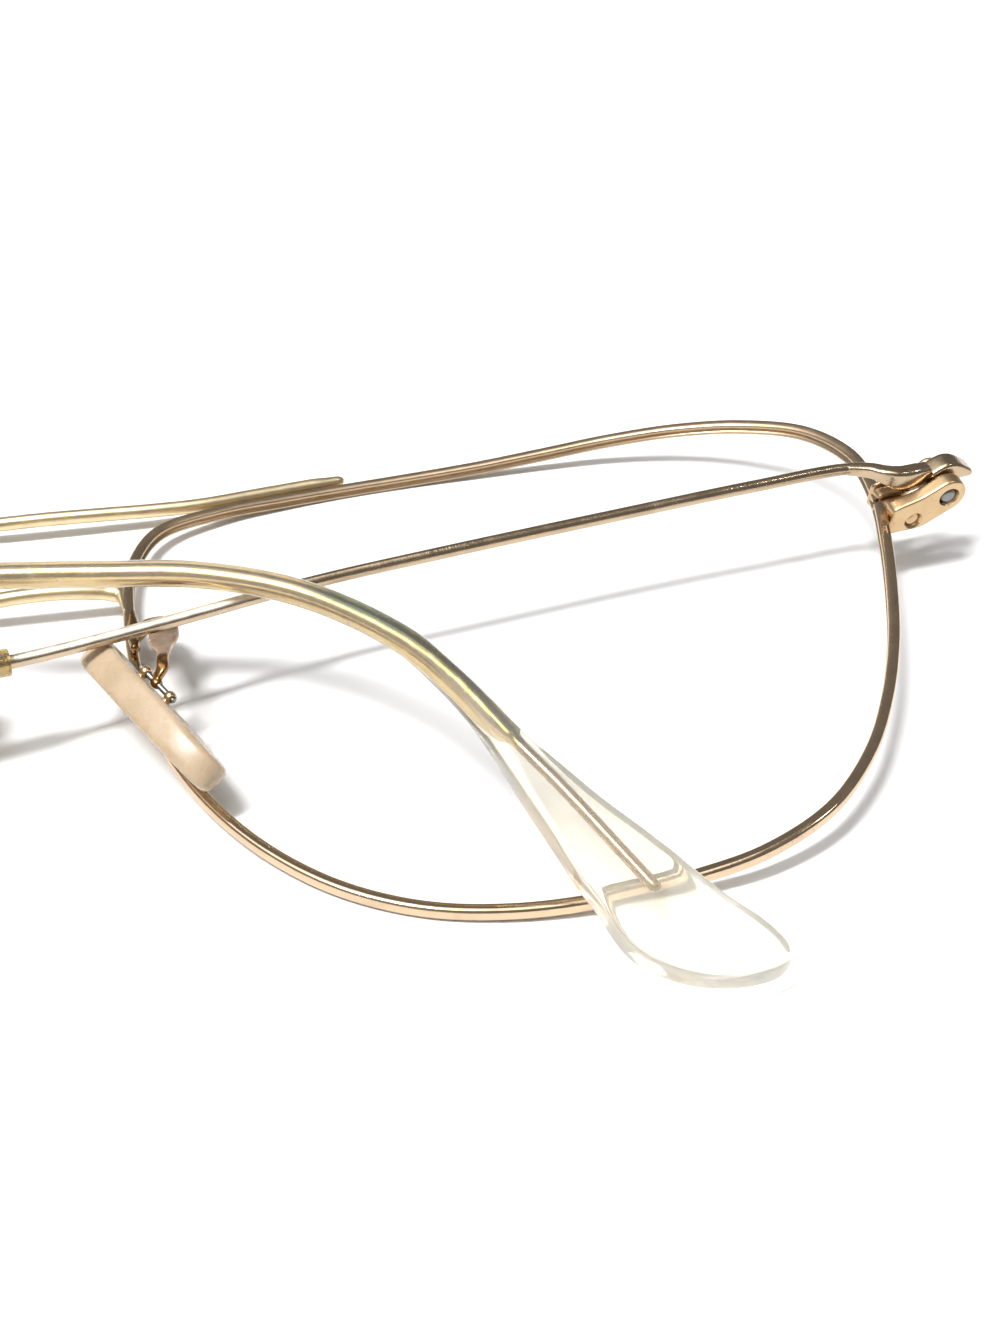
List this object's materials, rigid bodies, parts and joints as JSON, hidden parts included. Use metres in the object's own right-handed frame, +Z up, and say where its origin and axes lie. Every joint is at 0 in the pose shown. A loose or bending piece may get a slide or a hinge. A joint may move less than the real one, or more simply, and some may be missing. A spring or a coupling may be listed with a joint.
{
  "type": "sunglasses frame",
  "caption": "Gold wire sunglasses frame with a brow bar over a lower bridge and open rims without lenses; temples fold on hinges, clear paddle ear tips, nose pads rock on pins.",
  "frame": {"origin": "bottom centre of the bounding box, on the table the frame lies on", "axes": "+X to the wearer's right, +Y to the brow side of the frame, +Z up from the table, towards the wearer's face; the frame lies face down with its temples folded"},
  "size_m": [0.1454, 0.0662, 0.0106],
  "materials": {
    "gold_wire": "polished gold-filled wire, lightly worn",
    "pale_gold": "polished pale gold",
    "steel_screw": "turned, slightly dull",
    "clear_tip": "clear, polished",
    "pad_plastic": "translucent pinkish beige, satin gloss"
  },
  "bodies": {
    "front": {"right_rim": "gold_wire", "left_rim": "gold_wire", "brow_bar": "pale_gold", "lower_bridge": "pale_gold", "right_lower_lug": "gold_wire", "right_upper_lug": "gold_wire", "right_closing_screw": "gold_wire", "right_hinge_screw": "steel_screw", "right_pad_arm": "gold_wire", "right_pad_pin": "steel_screw", "left_lower_lug": "gold_wire", "left_upper_lug": "gold_wire", "left_closing_screw": "gold_wire", "left_hinge_screw": "steel_screw", "left_pad_arm": "gold_wire", "left_pad_pin": "steel_screw"},
    "right_temple": {"right_temple": "gold_wire", "right_ear_tip": "clear_tip"},
    "left_temple": {"left_temple": "gold_wire", "left_ear_tip": "clear_tip"},
    "right_pad": {"right_nose_pad": "pad_plastic", "right_pad_bracket": "gold_wire"},
    "left_pad": {"left_nose_pad": "pad_plastic", "left_pad_bracket": "gold_wire"}
  },
  "joints": [
    {"name": "right_temple_hinge", "type": "hinge", "parent": "front", "child": "right_temple", "pos_m": [0.06968, 0.01511, 0.0072], "axis": [-0.1424, 0.982, 0.1245], "range_deg": [0, 91]},
    {"name": "left_temple_hinge", "type": "hinge", "parent": "front", "child": "left_temple", "pos_m": [-0.06972, 0.01511, 0.0072], "axis": [-0.0505, -0.9911, -0.1232], "range_deg": [0, 91]},
    {"name": "right_pad_pivot", "type": "hinge", "parent": "front", "child": "right_pad", "pos_m": [0.00899, 0.0024, 0.0056], "axis": [0.5135, -0.851, -0.11], "range_deg": [-5, 15]},
    {"name": "left_pad_pivot", "type": "hinge", "parent": "front", "child": "left_pad", "pos_m": [-0.00904, 0.0024, 0.0056], "axis": [0.5135, 0.851, 0.11], "range_deg": [-5, 15]}
  ]
}
